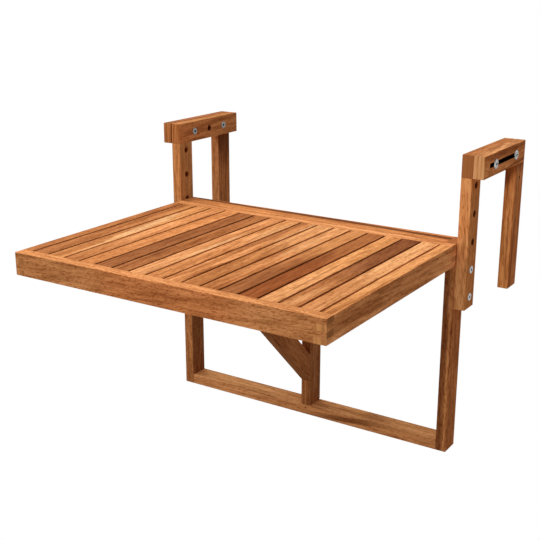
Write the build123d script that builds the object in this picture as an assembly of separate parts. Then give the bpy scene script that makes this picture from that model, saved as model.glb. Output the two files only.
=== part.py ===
from build123d import *
import os
from math import atan2, cos, sin

# Folding balcony table that hangs on a railing by two hooks.
# The origin is on the railing's top, midway between the hooks and between their posts.
# +X is to the right, +Y away from the user over the railing, +Z up. All sizes are in millimetres.

# Board stock: every batten of the table has this section.
stock_t = 20.0
stock_w = 40.0
edge_r = 0.8

# Tabletop
top_width = 600.0
top_depth = 450.0
finger_count = 4
slat_count = 16
slat_gap = 4.0
slat_t = 15.0
slat_end_gap = 0.2
ledger_w = 20.0
ledger_h = 20.0
batten_w = 40.0

# Railing hooks
railing_room = 120.0
railing_to_top = 115.0
hole_count = 5
hole_pitch = 50.0
first_hole_drop = 14.0
last_hole_rise = 21.0
leg_bolt_count = 2
arm_hole_pitch = 50.0
slide_back = 20.0
slide_forward = 8.0
slide_gap = 0.3
slot_play = 0.9
lock_pin_drop = 26.0
lock_pin_r = 2.0
lock_pin_len = 12.0
lock_pin_sink = 2.0

# Back frame and hinges
frame_h = 400.0
hinge_gap = 2.0
hinge_spread = 200.0
hinge_len = 60.0
leaf_w = 17.0
leaf_t = 1.5
barrel_r = 3.0
knuckle_count = 5
knuckle_gap = 0.3
hinge_pin_r = 1.5
hinge_screw_pitch = 20.0

# Swinging bracket
hinge_room = 7.0
fold_room = 20.0
brace_rise = 53.0
gate_pin_r = 4.0
gate_pin_grip = 24.0
gate_pin_reach = 14.0
washer_r = 9.0
washer_t = 1.0
bush_r = 8.0
bush_play = 0.3

# Fasteners
bolt_r = 3.0
bolt_head_r = 6.0
bolt_head_h = 3.5
slot_head_r = 8.5
slot_head_h = 2.8
sleeve_r = 5.95
sleeve_len = 14.0
sleeve_rim_r = 7.0
sleeve_rim_t = 1.2
sleeve_wall = 1.0
socket_r = 2.5
socket_depth = 2.5
thread_reach = 9.0
screw_r = 1.75
screw_head_r = 3.4
screw_head_h = 1.8
screw_sink = 3.0
slat_bite = 9.0
screw_bite = 12.0
dowel_r = 3.0
dowel_long = 18.0
dowel_short = 12.0
hole_clear = 0.05
bolt_clear = 1.0
sink_clear = 0.5
run_clear = 0.06

# Places worked out from the driving sizes
half_top = top_width / 2
half_inside = half_top - stock_t
arm_len = railing_room + 2 * stock_w
post_h = first_hole_drop + (hole_count - 1) * hole_pitch + last_hole_rise
frame_front = -arm_len / 2
frame_back = frame_front + stock_w
post_y = frame_front + stock_w / 2
rear_post_y = arm_len / 2 - stock_w / 2
arm_mid_z = stock_w / 2
top_z = -railing_to_top
under_z = top_z - stock_w
slat_under = top_z - slat_t
foot_z = top_z - frame_h
rail_top_z = foot_z + stock_t
rim_back = frame_front - hinge_gap
rim_front = rim_back - top_depth
slat_front = rim_front + stock_t
slat_back = rim_back - stock_t
slat_width = (2 * half_inside - (slat_count + 1) * slat_gap) / slat_count
slat_pitch = slat_width + slat_gap
gate_top = under_z - hinge_room
gate_foot = rail_top_z + washer_t
bar_under = gate_top - stock_w
gate_tip = frame_front - (half_inside - stock_w / 2 - fold_room)
brace_foot = rail_top_z + brace_rise
batten_back = gate_tip + batten_w
hinge_axis_y = (frame_front + rim_back) / 2
hinge_axis_z = under_z - barrel_r
arm_inner = half_top
arm_outer = half_top + stock_t
slide_inner = arm_outer + slide_gap
slide_outer = slide_inner + stock_t
slot_w = 2 * (bolt_r + slot_play)
slot_front = -arm_hole_pitch - slide_back - slot_play - slot_w / 2
slot_rear = arm_hole_pitch + slide_forward + slot_play + slot_w / 2
sleeve_hole_r = sleeve_r + hole_clear
dowel_spread = 0.3 * stock_w
sides = {"left": -1, "right": 1}

nodes = {}


def add(name, *shapes):
    """Put the solids of the shapes into the named node."""
    for shape in shapes:
        nodes.setdefault(name, []).extend(shape.solids())


def block(x_span, y_span, z_span):
    """Sharp box between the lower and upper value of each span."""
    low = [min(span) for span in (x_span, y_span, z_span)]
    size = [max(span) - min(span) for span in (x_span, y_span, z_span)]
    return Pos(*low) * Box(*size, align=(Align.MIN, Align.MIN, Align.MIN))


def board(x_span, y_span, z_span):
    """Planed batten: a box with every edge eased."""
    raw = block(x_span, y_span, z_span)
    return fillet(raw.edges(), edge_r)


def rod(start, direction, radius, length):
    """Cylinder from the start point along the direction."""
    stub = Cylinder(radius, length, align=(Align.CENTER, Align.CENTER, Align.MIN))
    return Plane(origin=start, z_dir=direction) * stub


def cut(shape, tools):
    """Take all the tools out of the shape."""
    for tool in tools:
        shape = shape - tool
    return shape


def cross_recess(head_r, head_h, face_z):
    """Two crossed slots for a driver, sunk below the head's face."""
    reach = 1.1 * head_r
    width = 0.24 * head_r
    depth = 0.65 * head_h
    bar = Pos(0, 0, face_z) * Box(reach, width, 2 * depth)
    return bar + Rot(0, 0, 90) * bar


def headed_screw(shank_r, length, head_r, head_h):
    """Screw along +Z with its head below the seat at the origin."""
    head = Pos(0, 0, -head_h) * Cylinder(head_r, head_h, align=(Align.CENTER, Align.CENTER, Align.MIN))
    face = head.faces().sort_by(Axis.Z)[0]
    head = fillet(face.edges(), 0.6 * head_h)
    shank = rod((0, 0, 0), (0, 0, 1), shank_r, length)
    return head + shank - cross_recess(head_r, head_h, -head_h)


def sunk_screw(shank_r, length, head_r, head_h):
    """Countersunk screw along +Z whose flat head ends at the origin."""
    head = Cone(head_r, shank_r, head_h, align=(Align.CENTER, Align.CENTER, Align.MIN))
    shank = rod((0, 0, 0), (0, 0, 1), shank_r, length)
    return head + shank - cross_recess(head_r, head_h, 0)


def sleeve_nut():
    """Rimmed sleeve nut along +Z: rim below the seat, threaded bore open at the far end."""
    rim = Pos(0, 0, -sleeve_rim_t) * Cylinder(
        sleeve_rim_r, sleeve_rim_t, align=(Align.CENTER, Align.CENTER, Align.MIN)
    )
    rim = fillet(rim.faces().sort_by(Axis.Z)[0].edges(), 0.6 * sleeve_rim_t)
    barrel = rod((0, 0, 0), (0, 0, 1), sleeve_r, sleeve_len)
    socket = extrude(
        Pos(0, 0, -sleeve_rim_t) * RegularPolygon(socket_r, 6), socket_depth
    )
    bore_start = socket_depth - sleeve_rim_t + sleeve_wall
    bore = rod((0, 0, bore_start), (0, 0, 1), bolt_r + hole_clear, sleeve_len)
    return rim + barrel - socket - bore


def placed(shape, seat, direction):
    """Copy of a +Z fastener with its seat and direction."""
    return Plane(origin=seat, z_dir=direction) * shape


def dowel(start, direction, length):
    """Wooden dowel from the start point."""
    return rod(start, direction, dowel_r, length)


def dowel_hole(start, direction, length):
    """Hole around a dowel, a little wider and deeper at both ends."""
    step = Vector(*direction).normalized() * hole_clear
    begin = Vector(*start) - step
    return rod(begin, direction, dowel_r + hole_clear, length + 2 * hole_clear)


def slat_left(index):
    """Left edge of a slat, counted from 0."""
    return -half_inside + slat_gap + index * slat_pitch


def slat_mid(index):
    """Middle of a slat across the table."""
    return slat_left(index) + slat_width / 2


# Supports under the slats: front edge, back edge and lower face of each
supports = {
    "front_ledger": (slat_front, slat_front + ledger_w, slat_under - ledger_h),
    "centre_batten": (gate_tip, batten_back, gate_top),
    "rear_ledger": (slat_back - ledger_w, slat_back, slat_under - ledger_h),
}


def finger_span(index):
    """Height span of one box-joint finger, counted from the top."""
    finger_h = stock_w / finger_count
    return (top_z - index * finger_h, top_z - (index + 1) * finger_h)


def ledger_screw_places():
    """Places across the table of the screws that hold a ledger, in gaps between slats."""
    quarter = slat_count // 4
    return [slat_left(quarter // 2 + quarter * step) - slat_gap / 2 for step in range(4)]


def hinge_screw_places(side):
    """Places across the table of the screws of one hinge."""
    return [side * hinge_spread + step * hinge_screw_pitch for step in (-1, 0, 1)]


def leaf_mid(toward):
    """Middle of a hinge leaf, on the back or the front side of the hinge line."""
    return hinge_axis_y + toward * (barrel_r + knuckle_gap + leaf_w / 2)


def build_slats():
    """Slats, their screws from below and the ledgers and batten that carry them."""
    screws = {}
    for name, (front, back, low) in supports.items():
        seat_z = low + screw_sink
        screws[name] = headed_screw(screw_r, slat_under - seat_z + slat_bite, screw_head_r, screw_head_h)
    for index in range(slat_count):
        left = slat_left(index)
        slat = board(
            (left, left + slat_width),
            (slat_front + slat_end_gap, slat_back - slat_end_gap),
            (slat_under, top_z),
        )
        pilots = []
        for front, back, low in supports.values():
            start = (slat_mid(index), (front + back) / 2, slat_under)
            pilots.append(rod(start, (0, 0, 1), screw_r + hole_clear, slat_bite + hole_clear))
        add(f"slat_{index + 1:02d}", cut(slat, pilots))
    for name, (front, back, low) in supports.items():
        mid = (front + back) / 2
        carrier = board((-half_inside, half_inside), (front, back), (low, slat_under))
        holes = []
        for index in range(slat_count):
            seat = (slat_mid(index), mid, low + screw_sink)
            holes.append(rod(seat, (0, 0, 1), screw_r + hole_clear, slat_under - low))
            holes.append(rod(seat, (0, 0, -1), screw_head_r + sink_clear, 2 * screw_sink))
            add("top_screws", placed(screws[name], seat, (0, 0, 1)))
        holes.extend(ledger_holes(name, front, back, low))
        add(name, cut(carrier, holes))


def ledger_holes(name, front, back, low):
    """Holes for what holds a carrier to the rim: screws in a ledger, dowels in the batten."""
    holes = []
    if name == "centre_batten":
        for side in sides.values():
            for start, direction in batten_dowel_places(side):
                holes.append(dowel_hole(start, direction, dowel_long + dowel_short))
        return holes
    outward = -1 if name == "front_ledger" else 1
    face = back if name == "front_ledger" else front
    mid_z = (low + slat_under) / 2
    length = ledger_w - screw_sink + screw_bite
    screw = headed_screw(screw_r, length, screw_head_r, screw_head_h)
    for x in ledger_screw_places():
        seat = (x, face + outward * screw_sink, mid_z)
        holes.append(rod(seat, (0, outward, 0), screw_r + hole_clear, ledger_w))
        holes.append(rod(seat, (0, -outward, 0), screw_head_r + sink_clear, 2 * screw_sink))
        add("top_screws", placed(screw, seat, (0, outward, 0)))
    return holes


def batten_dowel_places(side):
    """Start and direction of the dowels at one end of the batten."""
    mid_y = (gate_tip + batten_back) / 2
    mid_z = (gate_top + slat_under) / 2
    start_x = side * (half_inside - dowel_long)
    return [((start_x, mid_y + step * batten_w / 4, mid_z), (side, 0, 0)) for step in (-1, 1)]


def build_rim():
    """Front and rear rail and side aprons, box-jointed at the corners."""
    outline = board((-half_top, half_top), (rim_front, rim_back), (under_z, top_z))
    own = [index for index in range(finger_count) if index % 2 == 0]
    given = [index for index in range(finger_count) if index % 2 == 1]
    ends = {"front_rail": (rim_front, slat_front, 1), "rear_rail": (slat_back, rim_back, -1)}
    mid_z = slat_under - ledger_h / 2
    corner_x = {side: (side * half_inside, side * half_top) for side in sides.values()}
    for name, (near, far, inward) in ends.items():
        rail = block((-half_top, half_top), (near, far), (under_z, top_z)) & outline
        holes = []
        for side in sides.values():
            for index in given:
                holes.append(block(corner_x[side], (near, far), finger_span(index)))
        inner = far if inward == 1 else near
        for x in ledger_screw_places():
            start = (x, inner, mid_z)
            holes.append(rod(start, (0, -inward, 0), screw_r + hole_clear, screw_bite + hole_clear))
        if name == "rear_rail":
            for side in sides.values():
                holes.extend(hinge_pilots(side, -1))
        add(name, cut(rail, holes))
    for word, side in sides.items():
        apron = block(corner_x[side], (rim_front, rim_back), (under_z, top_z)) & outline
        holes = []
        for near, far, inward in ends.values():
            for index in own:
                holes.append(block(corner_x[side], (near, far), finger_span(index)))
        for start, direction in batten_dowel_places(side):
            holes.append(dowel_hole(start, direction, dowel_long + dowel_short))
            add("batten_dowels", dowel(start, direction, dowel_long + dowel_short))
        add(f"{word}_apron", cut(apron, holes))


def hinge_pilots(side, toward):
    """Pilot holes of one leaf's screws, up into the wood above it."""
    pilots = []
    for x in hinge_screw_places(side):
        start = (x, leaf_mid(toward), under_z)
        pilots.append(rod(start, (0, 0, 1), screw_r + hole_clear, screw_bite + hole_clear))
    return pilots


def hinge_leaf(side, toward, knuckles, bore_r):
    """One leaf with its knuckles, reaching back (toward 1) or forward (toward -1) of the pin."""
    centre = side * hinge_spread
    left = centre - hinge_len / 2
    plate_near = hinge_axis_y + toward * (barrel_r + knuckle_gap)
    plate_far = plate_near + toward * leaf_w
    leaf_z = (under_z - leaf_t, under_z)
    leaf = block((left, left + hinge_len), (plate_near, plate_far), leaf_z)
    pitch = hinge_len / knuckle_count
    for index in knuckles:
        start = left + index * pitch + knuckle_gap / 2
        length = pitch - knuckle_gap
        leaf = leaf + block((start, start + length), (hinge_axis_y, plate_near), leaf_z)
        leaf = leaf + rod((start, hinge_axis_y, hinge_axis_z), (1, 0, 0), barrel_r, length)
    holes = [rod((left, hinge_axis_y, hinge_axis_z), (1, 0, 0), bore_r, hinge_len)]
    sink = Cone(
        screw_head_r + hole_clear,
        screw_r + hole_clear,
        leaf_t,
        align=(Align.CENTER, Align.CENTER, Align.MIN),
    )
    for x in hinge_screw_places(side):
        holes.append(Pos(x, leaf_mid(toward), under_z - leaf_t) * sink)
    return cut(leaf, holes)


def build_hinges():
    """Two butt hinges under the seam between the top and the frame."""
    screw = sunk_screw(screw_r, leaf_t + screw_bite, screw_head_r, leaf_t)
    frame_knuckles = range(0, knuckle_count, 2)
    top_knuckles = range(1, knuckle_count, 2)
    for side in sides.values():
        add("hinge_frame_leaves", hinge_leaf(side, 1, frame_knuckles, hinge_pin_r + hole_clear))
        add("hinge_top_leaves", hinge_leaf(side, -1, top_knuckles, hinge_pin_r + run_clear))
        start = (side * hinge_spread - hinge_len / 2, hinge_axis_y, hinge_axis_z)
        add("hinge_pins", rod(start, (1, 0, 0), hinge_pin_r, hinge_len))
        for x in hinge_screw_places(side):
            for name, toward in (("hinge_frame_screws", 1), ("hinge_top_screws", -1)):
                seat = (x, leaf_mid(toward), under_z - leaf_t)
                add(name, placed(screw, seat, (0, 0, 1)))


def rail_dowel_places(side, z):
    """Start and direction of the dowels between a frame rail and a leg."""
    start_x = side * (half_inside - dowel_long)
    return [((start_x, post_y + step * dowel_spread, z), (side, 0, 0)) for step in (-1, 1)]


def leg_bolt_heights():
    """Heights of the bolts that hold a leg to its post, in the lowest holes."""
    numbers = range(hole_count - leg_bolt_count, hole_count)
    return [-first_hole_drop - number * hole_pitch for number in numbers]


def build_frame():
    """Legs, bottom rail, top rail and their dowels."""
    frame_span = (frame_front, frame_back)
    rails = {"bottom_rail": (foot_z, rail_top_z), "top_rail": (under_z, top_z)}
    dowel_len = dowel_long + dowel_short
    for name, z_span in rails.items():
        rail = board((-half_inside, half_inside), frame_span, z_span)
        holes = []
        for side in sides.values():
            for start, direction in rail_dowel_places(side, sum(z_span) / 2):
                holes.append(dowel_hole(start, direction, dowel_len))
                add("frame_dowels", dowel(start, direction, dowel_len))
        inward = -1 if name == "bottom_rail" else 1
        mouth = rail_top_z if name == "bottom_rail" else under_z
        depth = gate_pin_reach + run_clear
        holes.append(rod((0, post_y, mouth), (0, 0, inward), gate_pin_r + run_clear, depth))
        if name == "top_rail":
            for side in sides.values():
                holes.extend(hinge_pilots(side, 1))
        add(name, cut(rail, holes))
    for word, side in sides.items():
        leg = board((side * half_inside, side * half_top), frame_span, (foot_z, top_z))
        holes = []
        for z_span in rails.values():
            for start, direction in rail_dowel_places(side, sum(z_span) / 2):
                holes.append(dowel_hole(start, direction, dowel_len))
        for z in leg_bolt_heights():
            start = (side * half_inside, post_y, z)
            holes.append(rod(start, (side, 0, 0), bolt_r + bolt_clear, stock_t))
        add(f"{word}_leg", cut(leg, holes))


def arm_dowel_places(x, y):
    """Start and direction of the dowels between a post and the arm on it."""
    return [((x, y + step * dowel_spread, -dowel_long), (0, 0, 1)) for step in (-1, 1)]


def build_hooks():
    """Front posts with fixed arms, and slotted arms with rear posts."""
    dowel_len = dowel_long + dowel_short
    bolt_places = [step * arm_hole_pitch for step in (-1, 1)]
    for word, side in sides.items():
        post_span = (side * arm_inner, side * arm_outer)
        post_x = side * (arm_inner + arm_outer) / 2
        post = board(post_span, (frame_front, frame_back), (-post_h, 0))
        holes = []
        for number in range(hole_count):
            z = -first_hole_drop - number * hole_pitch
            holes.append(rod((side * arm_inner, post_y, z), (side, 0, 0), bolt_r + bolt_clear, stock_t))
            wide = (side * arm_outer, post_y, z)
            holes.append(rod(wide, (-side, 0, 0), sleeve_hole_r, sleeve_len + hole_clear))
        for start, direction in arm_dowel_places(post_x, post_y):
            holes.append(dowel_hole(start, direction, dowel_len))
            add("post_dowels", dowel(start, direction, dowel_len))
        add(f"{word}_front_post", cut(post, holes))

        arm = board(post_span, (-arm_len / 2, arm_len / 2), (0, stock_w))
        holes = []
        for y in (*bolt_places, 0):
            holes.append(rod((side * arm_inner, y, arm_mid_z), (side, 0, 0), sleeve_hole_r, stock_t))
        for start, direction in arm_dowel_places(post_x, post_y):
            holes.append(dowel_hole(start, direction, dowel_len))
        add(f"{word}_fixed_arm", cut(arm, holes))

        slide_span = (side * slide_inner, side * slide_outer)
        slide_x = side * (slide_inner + slide_outer) / 2
        slide = board(slide_span, (-arm_len / 2, arm_len / 2), (0, stock_w))
        slot_mid = (slide_x, (slot_front + slot_rear) / 2, arm_mid_z)
        slot_plane = Plane(origin=slot_mid, x_dir=(0, 1, 0), z_dir=(1, 0, 0))
        slot = slot_plane * SlotOverall(slot_rear - slot_front, slot_w)
        holes = [extrude(slot, stock_t, both=True)]
        rear = board(slide_span, (arm_len / 2 - stock_w, arm_len / 2), (-post_h, 0))
        lock_depth = lock_pin_sink + lock_pin_len
        lock_start = (side * slide_outer, rear_post_y, -lock_pin_drop)
        rear = rear - rod(lock_start, (-side, 0, 0), lock_pin_r + hole_clear, lock_depth + hole_clear)
        for start, direction in arm_dowel_places(slide_x, rear_post_y):
            holes.append(dowel_hole(start, direction, dowel_len))
            rear = rear - dowel_hole(start, direction, dowel_len)
            add(f"{word}_hook_dowels", dowel(start, direction, dowel_len))
        add(f"{word}_slide_arm", cut(slide, holes))
        add(f"{word}_rear_post", rear)
        pin_start = (side * (slide_outer - lock_pin_sink), rear_post_y, -lock_pin_drop)
        add(f"{word}_lock_pin", rod(pin_start, (-side, 0, 0), lock_pin_r, lock_pin_len))


def build_bolts():
    """Bolts and sleeve nuts of the legs and of the slotted arms."""
    sleeve = sleeve_nut()
    leg_bolt = headed_screw(bolt_r, 2 * stock_t - sleeve_len + thread_reach, bolt_head_r, bolt_head_h)
    slot_bolt_len = 2 * stock_t + slide_gap - sleeve_len + thread_reach
    slot_bolt = headed_screw(bolt_r, slot_bolt_len, slot_head_r, slot_head_h)
    for side in sides.values():
        for z in leg_bolt_heights():
            add("leg_bolts", placed(leg_bolt, (side * half_inside, post_y, z), (side, 0, 0)))
            add("leg_sleeve_nuts", placed(sleeve, (side * arm_outer, post_y, z), (-side, 0, 0)))
        for step in (-1, 1):
            y = step * arm_hole_pitch
            add("slot_bolts", placed(slot_bolt, (side * slide_outer, y, arm_mid_z), (-side, 0, 0)))
            add("slot_sleeve_nuts", placed(sleeve, (side * arm_inner, y, arm_mid_z), (side, 0, 0)))


def build_gate():
    """Swinging bracket: post, brace and top bar, with its pivots."""
    gate_span = (-stock_t / 2, stock_t / 2)
    rise = atan2(bar_under - brace_foot, frame_front - gate_tip)
    brace_top_front = (gate_tip, bar_under)
    brace_top_back = (gate_tip + stock_w / sin(rise), bar_under)
    brace_low = (frame_front, brace_foot)
    brace_high = (frame_front, brace_foot + stock_w / cos(rise))
    corners = [brace_low, brace_high, brace_top_back, brace_top_front]
    side_view = Plane(origin=(0, 0, 0), x_dir=(0, 1, 0), z_dir=(1, 0, 0))
    profile = side_view * make_face(Polyline(*corners, close=True))
    brace = extrude(profile, stock_t / 2, both=True)
    flat_faces = brace.faces().sort_by(Axis.X)
    brace = fillet(flat_faces[0].edges() + flat_faces[-1].edges(), edge_r)
    post = board(gate_span, (frame_front, frame_back), (gate_foot, gate_top))
    bar = board(gate_span, (gate_tip, frame_front), (bar_under, gate_top))

    half = dowel_short
    brace_mid_y = (brace_top_front[0] + brace_top_back[0]) / 2
    brace_mid_z = (brace_low[1] + brace_high[1]) / 2
    places = [
        ((0, frame_front - half, (bar_under + gate_top) / 2), (0, 1, 0)),
        ((0, frame_front - half, brace_mid_z), (0, 1, 0)),
        ((0, brace_mid_y, bar_under - half), (0, 0, 1)),
    ]
    holes = [dowel_hole(start, direction, 2 * half) for start, direction in places]
    for start, direction in places:
        add("gate_dowels", dowel(start, direction, 2 * half))

    upper_len = gate_pin_grip + hinge_room + gate_pin_reach
    lower_len = gate_pin_grip + washer_t + gate_pin_reach
    upper_start = (0, post_y, gate_top - gate_pin_grip)
    lower_start = (0, post_y, gate_foot + gate_pin_grip)
    pins = [(upper_start, 1, upper_len), (lower_start, -1, lower_len)]
    post_holes = list(holes)
    for start, way, length in pins:
        add("gate_pins", rod(start, (0, 0, way), gate_pin_r, length))
        deep_start = (0, post_y, start[2] - way * hole_clear)
        post_holes.append(rod(deep_start, (0, 0, way), gate_pin_r + hole_clear, length))
    add("gate_post", cut(post, post_holes))
    add("gate_brace", cut(brace, holes))
    add("gate_top_bar", cut(bar, holes))

    pin_way = gate_pin_r + 4 * hole_clear
    washer = rod((0, post_y, rail_top_z), (0, 0, 1), washer_r, washer_t)
    add("gate_washer", washer - rod((0, post_y, rail_top_z), (0, 0, 1), pin_way, washer_t))
    bush_t = hinge_room - bush_play
    bush = rod((0, post_y, under_z), (0, 0, -1), bush_r, bush_t)
    add("gate_bush", bush - rod((0, post_y, under_z), (0, 0, -1), pin_way, bush_t))


build_slats()
build_rim()
build_hinges()
build_frame()
build_hooks()
build_bolts()
build_gate()

os.makedirs("parts", exist_ok=True)
for node_name, solids in nodes.items():
    export_step(Compound(solids), f"parts/{node_name}.step")
print(len(nodes), "nodes,", sum(len(solids) for solids in nodes.values()), "solids")
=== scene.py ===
import logging
from abc import ABC, abstractmethod
from dataclasses import dataclass
from enum import Enum
from functools import reduce
from math import cos, radians, sin

import bmesh
import bpy
from bpy.types import ID, Material, Node, NodeSocket, NodeTree, Object, World
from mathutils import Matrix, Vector


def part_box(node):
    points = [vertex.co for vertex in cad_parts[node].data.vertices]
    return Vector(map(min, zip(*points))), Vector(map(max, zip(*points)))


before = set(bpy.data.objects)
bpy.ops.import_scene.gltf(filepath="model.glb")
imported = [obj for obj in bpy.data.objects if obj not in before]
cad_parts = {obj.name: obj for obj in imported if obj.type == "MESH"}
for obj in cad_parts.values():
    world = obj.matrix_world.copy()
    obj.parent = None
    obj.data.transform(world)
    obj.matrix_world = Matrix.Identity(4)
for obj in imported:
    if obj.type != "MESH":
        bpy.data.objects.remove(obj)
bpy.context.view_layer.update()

Colour = tuple[float, ...]
Paint = Enum | Colour
Triple = tuple[float, float, float]
Pair = tuple[float, float]
Stops = list[tuple[float, Colour]]
Inputs = dict[str | int, NodeSocket | Vector | Colour | float]

# Numbers of a mix node's inputs for the lower and the upper colour, and of its output.
UNDER, OVER, MIXED = 6, 7, 2
# Value about which every noise spreads.
NOISE_MIDDLE = 0.5
# Share of a streak's half width over which it fades, and metres to either side of its ends.
STREAK_FADE, SPAN_FADE = 0.5, 0.05
# Depth of a face's tint, and of a dark patch on a face (painted shade, a joint line or a mark), in metres.
FACE_DEPTH = 0.0012
SKIN_DEPTH = 0.0005
# Shift of a board's pattern along X, Y and Z for each unit of its seed.
SEED_SHIFT = (1.37, 2.11, 0.83)
# Greatest angle between a board's fibres and its length, and the lean of a sloping board.
FIBRE_SWAY, BOARD_LEAN = radians(3.0), radians(45.0)
LEAN_COSINE = cos(BOARD_LEAN)
# Factors on each channel of a timber's colour, one step paler and one step deeper.
PALER, DEEPER = (1.17, 1.22, 1.30), (0.76, 0.69, 0.63)
# Step of the figure from one band of colour to the next, at a contrast of 1.
BAND_STEP = 0.07
# Share of the broad bands in the figure, the rest being lines.
BAND_SHARE = 0.35
# Share of a normal along the fibres past which a face counts as a cut end.
CUT_SHARE = 0.75
# Factors on the wood's colour over the noise of the threads, and over that of the pores.
THREAD_TINTS: Stops = [(0.34, (0.74, 0.67, 0.61)), (0.5, (1.0, 1.0, 1.0)), (0.66, (1.16, 1.2, 1.26))]
FLECK_TINTS: Stops = [(0.48, (1.08, 1.1, 1.12)), (0.70, (0.68, 0.53, 0.44))]
# Roughness of the oiled wood from the deep figure to the pale, and its reflection.
OIL_ROUGHNESS = (0.52, 0.72)
OIL_SPECULAR = 0.012
# Depth of the pores against the threads, and strength and depth in metres of the relief.
PORE_DEPTH = 0.6
WOOD_RELIEF = (0.25, 0.0006)
# Depth of the grit on metal and nylon, in metres.
GRIT_DEPTH = 0.0001

logging.basicConfig(level=logging.INFO, format="%(name)s: %(message)s")
log = logging.getLogger("balcony_table")


def shade(red: int, green: int, blue: int) -> Colour:
    """Linear colour, as a shader takes it, of a display colour with 11 to 255 in each channel."""
    return tuple(((channel / 255.0 + 0.055) / 1.055) ** 2.4 for channel in (red, green, blue))


class Blend(Enum):
    """How a colour meets the one under it."""

    COVER = "MIX"
    TINT = "MULTIPLY"


@dataclass(frozen=True)
class Waves:
    """Size and form of a noise that may be stretched along one axis.

    Attributes:
        along: Waves per metre along the axis.
        across: Waves per metre across it.
        detail: Octaves of detail.
        roughness: Strength of the finer octaves.
        warp: Distortion of the pattern.
        skew: Angle between the pattern and the fibres of a board, in degrees.
    """

    along: float
    across: float
    detail: float = 2.0
    roughness: float = 0.6
    warp: float = 0.0
    skew: float = 0.0

    def scale(self, axis: int) -> tuple[float, ...]:
        """Waves per metre along X, Y and Z, stretched along one of them."""
        return tuple(self.along if count == axis else self.across for count in range(3))


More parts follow.
